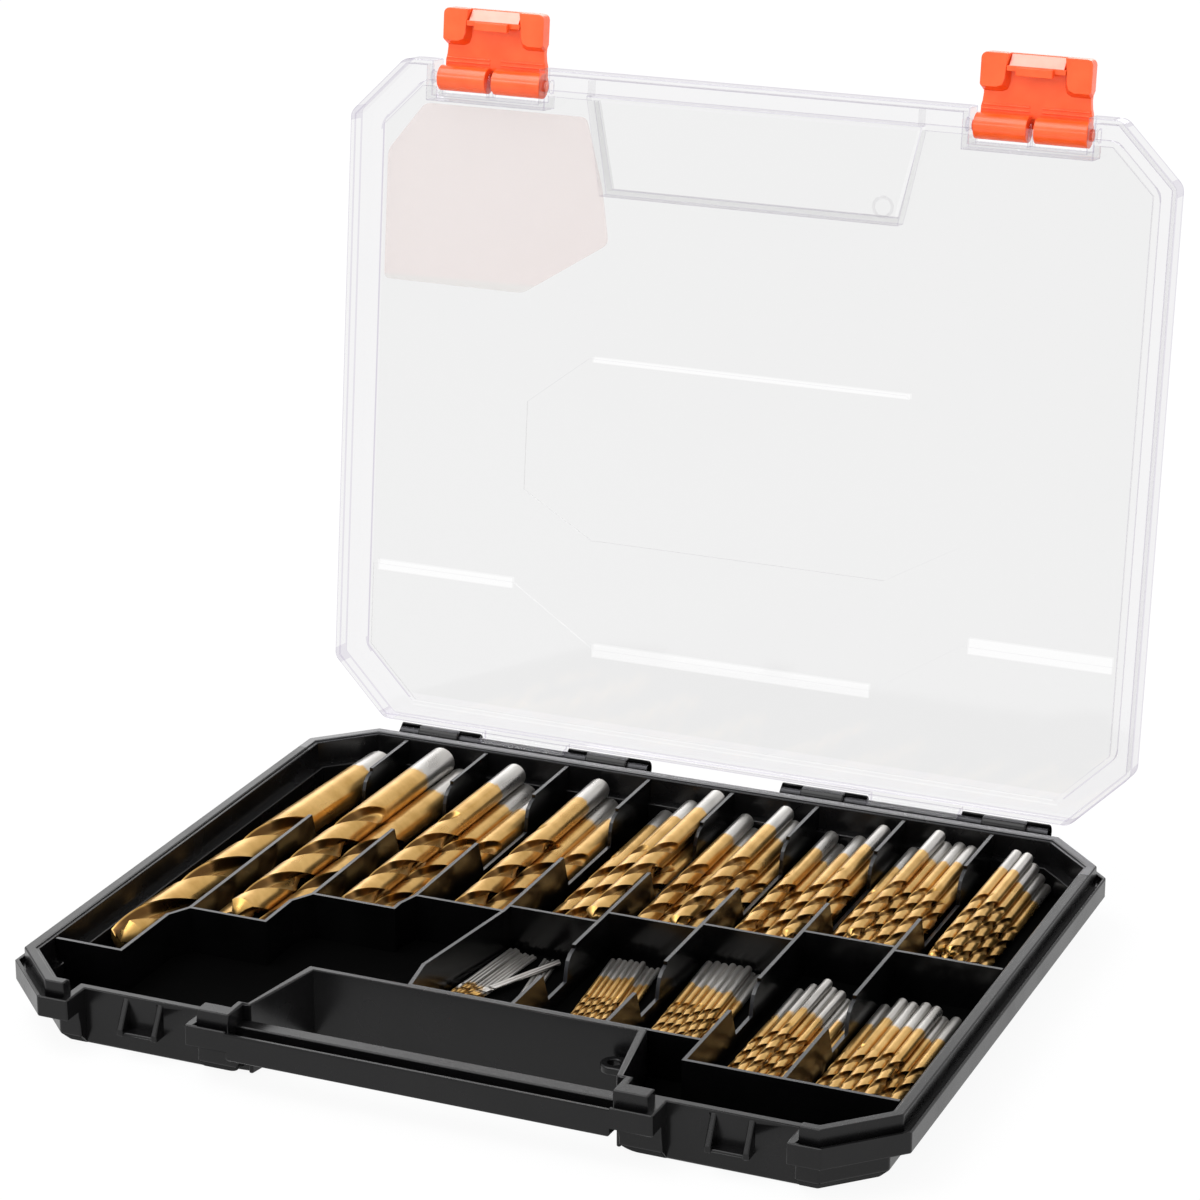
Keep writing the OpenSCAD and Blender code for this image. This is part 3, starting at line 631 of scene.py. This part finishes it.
def drill_blank(d, long):
    """One twist drill in mm along +Z, its point at the origin."""
    radius, flute, lead = d / 2, FLUTES[d], LEAD * d
    half = half_section(d > 4.2)
    turn_per_step = 9 if d > 4.2 else 13 if d > 2.2 else 18
    steps = round(360 * flute / lead / turn_per_step)
    bm = bmesh.new()
    ring = []
    hollow = bm.verts.layers.float.new("hollow")
    for angle, share, shade in half + [(turn + math.pi, *rest) for turn, *rest in half]:
        ring.append(bm.verts.new((
            radius * share * math.cos(angle), radius * share * math.sin(angle), 0)))
        ring[-1][hollow] = shade
    loop = [bm.edges.new((one, other)) for one, other in zip(ring, ring[1:] + ring[:1])]
    bmesh.ops.spin(
        bm, geom=loop, cent=(0, 0, 0), axis=(0, 0, 1), dvec=(0, 0, flute / steps),
        angle=2 * math.pi * flute / lead, steps=steps, use_merge=False)
    # the flutes run out over this length
    fade = 1.1 * d
    slope = math.tan(math.radians(POINT_HALF_ANGLE))
    for vert in bm.verts:
        flat = math.hypot(vert.co.x, vert.co.y)
        share = min(1, max(0, (vert.co.z - flute + fade) / fade))
        grown = flat
        if share > 0:
            grown = min(radius, flat + 0.7 * radius * (1 - math.sqrt(max(0, 1 - share * share))))
        if grown > 0.999 * radius:
            vert[hollow] = 0
        grown = min(grown, vert.co.z * slope + 0.02 * radius)
        vert.co.x *= grown / flat
        vert.co.y *= grown / flat
    end = [e for e in bm.edges if e.is_boundary and all(v.co.z > flute - 0.01 for v in e.verts)]
    chamfer = 0.09 * d
    for rise, shrink in ((long - flute - chamfer, 1.0), (chamfer, 1 - 0.14)):
        grown = bmesh.ops.extrude_edge_only(bm, edges=end)["geom"]
        verts = [g for g in grown if isinstance(g, bmesh.types.BMVert)]
        bmesh.ops.translate(bm, vec=(0, 0, rise), verts=verts)
        for vert in verts:
            vert.co.x *= shrink
            vert.co.y *= shrink
            vert[hollow] = 0
        end = [g for g in grown if isinstance(g, bmesh.types.BMEdge)]
        end = [e for e in end if e.is_boundary]
    bmesh.ops.holes_fill(bm, edges=[e for e in bm.edges if e.is_boundary], sides=0)
    bmesh.ops.recalc_face_normals(bm, faces=bm.faces)
    for face in bm.faces:
        face.smooth = True
    for edge in bm.edges:
        if len(edge.link_faces) == 2 and edge.calc_face_angle(0) > math.radians(SHARP):
            edge.smooth = False
    mesh = bpy.data.meshes.new("drill_blank")
    bm.to_mesh(mesh)
    bm.free()
    return mesh


def solids_of(node):
    """The separate solids of a CAD node, as lists of points in mm."""
    bm = bmesh.new()
    bm.from_mesh(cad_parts[node].data)
    bmesh.ops.remove_doubles(bm, verts=bm.verts, dist=0.002 * MM)
    left, found = set(bm.verts), []
    for start in bm.verts:
        if start not in left:
            continue
        left.discard(start)
        group, edge_of = [], [start]
        while edge_of:
            vert = edge_of.pop()
            group.append(vert.co / MM)
            for edge in vert.link_edges:
                other = edge.other_vert(vert)
                if other in left:
                    left.discard(other)
                    edge_of.append(other)
        found.append(group)
    bm.free()
    return found


def mean(points):
    return sum(points, Vector()) / len(points)


rolls = random.Random(11)


def make_drills(node, d):
    """Fluted drills in the places of a CAD node's plain ones."""
    bm = bmesh.new()
    shank = bm.verts.layers.float.new("shank")
    bm.verts.layers.float.new("hollow")
    blank, long = None, 0
    for points in solids_of(node):
        back, front = max(p.y for p in points), min(p.y for p in points)
        ring = [p for p in points if p.y > back - 0.8]
        tip = [p for p in points if p.y < front + 0.02 * d + 0.1]
        head, foot = mean(ring), mean(tip)
        axis = head - foot
        if blank is None:
            long = axis.length
            blank = drill_blank(d, long)
        turn = Matrix.Rotation(rolls.uniform(0, math.pi), 4, "Z")
        aim = axis.to_track_quat("Z", "Y").to_matrix().to_4x4()
        move = Matrix.Scale(MM, 4) @ Matrix.Translation(foot) @ aim @ turn
        bare = BARE[d] * rolls.uniform(0.9, 1.12)
        known = len(bm.verts)
        bm.from_mesh(blank)
        bm.verts.ensure_lookup_table()
        fresh = bm.verts[known:]
        for vert in fresh:
            vert[shank] = (long - vert.co.z) / bare
        bmesh.ops.transform(bm, matrix=move, verts=fresh)
    bpy.data.meshes.remove(blank)
    name = "drills" + node[node.index("_"):]
    return make_piece(bm, name, "tray", [coated], [node])


for d in FLUTES:
    size = str(d).replace(".", "_")
    make_drills(("bit_" if d == 10 else "bits_") + size + "mm", d)


# ---------------------------------------------------------------- studio

def mix_by_ray(world_tree, lit, seen):
    """Colour seen directly, in gloss and through glass; lit colour elsewhere."""
    nodes, links = world_tree.nodes, world_tree.links
    ray = nodes.new("ShaderNodeLightPath")
    first = nodes.new("ShaderNodeMath")
    second = nodes.new("ShaderNodeMath")
    first.operation = second.operation = "MAXIMUM"
    links.new(ray.outputs["Is Camera Ray"], first.inputs[0])
    links.new(ray.outputs["Is Glossy Ray"], first.inputs[1])
    links.new(first.outputs[0], second.inputs[0])
    links.new(ray.outputs["Is Transmission Ray"], second.inputs[1])
    mix = nodes.new("ShaderNodeMixShader")
    links.new(second.outputs[0], mix.inputs[0])
    links.new(lit, mix.inputs[1])
    links.new(seen, mix.inputs[2])
    return mix.outputs[0]


world = bpy.data.worlds.new("studio")
scene.world = world
world.use_nodes = True
world.node_tree.nodes.clear()
soft, white = (world.node_tree.nodes.new("ShaderNodeBackground") for _ in range(2))
soft.inputs["Color"].default_value = (0.93, 0.93, 0.935, 1)
white.inputs["Color"].default_value = (1, 1, 1, 1)
world_out = world.node_tree.nodes.new("ShaderNodeOutputWorld")
world.node_tree.links.new(
    mix_by_ray(world.node_tree, soft.outputs[0], white.outputs[0]), world_out.inputs[0])

floor_bm = bmesh.new()
bmesh.ops.create_grid(floor_bm, x_segments=1, y_segments=1, size=4)
floor_mesh = bpy.data.meshes.new("floor")
floor_bm.to_mesh(floor_mesh)
floor_bm.free()
floor = bpy.data.objects.new("floor", floor_mesh)
floor.location.z = -0.0002
scene.collection.objects.link(floor)
paper = Finish("paper_floor")
matt = paper.add("BsdfDiffuse", {"Color": (0.9, 0.9, 0.9, 1)})
glow = paper.add("Emission", {"Color": (1, 1, 1, 1), "Strength": 1.0})
pale = paper.add("MixShader", {0: 0.92, 1: matt.outputs[0], 2: glow.outputs[0]})
paper.feed(paper.out.inputs["Surface"], mix_by_ray(
    paper.material.node_tree, matt.outputs[0], pale.outputs[0]))
floor_mesh.materials.append(paper.material)


def add_lamp(name, place, target, size, power):
    data = bpy.data.lights.new(name, "AREA")
    data.shape = "RECTANGLE"
    data.size, data.size_y = size
    data.energy = power
    lamp = bpy.data.objects.new(name, data)
    lamp.location = place
    lamp.rotation_euler = (Vector(target) - Vector(place)).to_track_quat("-Z", "Y").to_euler()
    scene.collection.objects.link(lamp)


# Each lamp's place, aim, width and height in metres, and its watts
add_lamp("overhead", (-0.42, -0.2, 1.1), (0, 0.05, 0.1), (0.9, 0.6), 6)
add_lamp("rear_left", (-0.62, 1.4, 0.56), (0, 0, 0.02), (1.5, 0.5), 4)
add_lamp("front_left", (-0.9, -0.9, 0.8), (0, 0, 0.08), (0.7, 0.7), 1.3)
add_lamp("front_strip", (-0.55, -0.95, 0.72), (0, 0.1, 0.2), (0.6, 0.14), 1.7)
add_lamp("right", (1.3, 0.2, 0.4), (0, 0, 0.02), (0.9, 0.4), 1.8)

camera_data = bpy.data.cameras.new("camera")
camera_data.lens = 115.5
camera_data.sensor_width = 36
camera_data.clip_start = 0.01
camera = bpy.data.objects.new("camera", camera_data)
camera.location = (0.3602, -0.8206, 0.4168)
aim_at = Vector((-0.0858, 0.2165, 0.0184))
camera.rotation_euler = (aim_at - camera.location).to_track_quat("-Z", "Y").to_euler()
scene.collection.objects.link(camera)
scene.camera = camera
scene.view_settings.view_transform = "Standard"
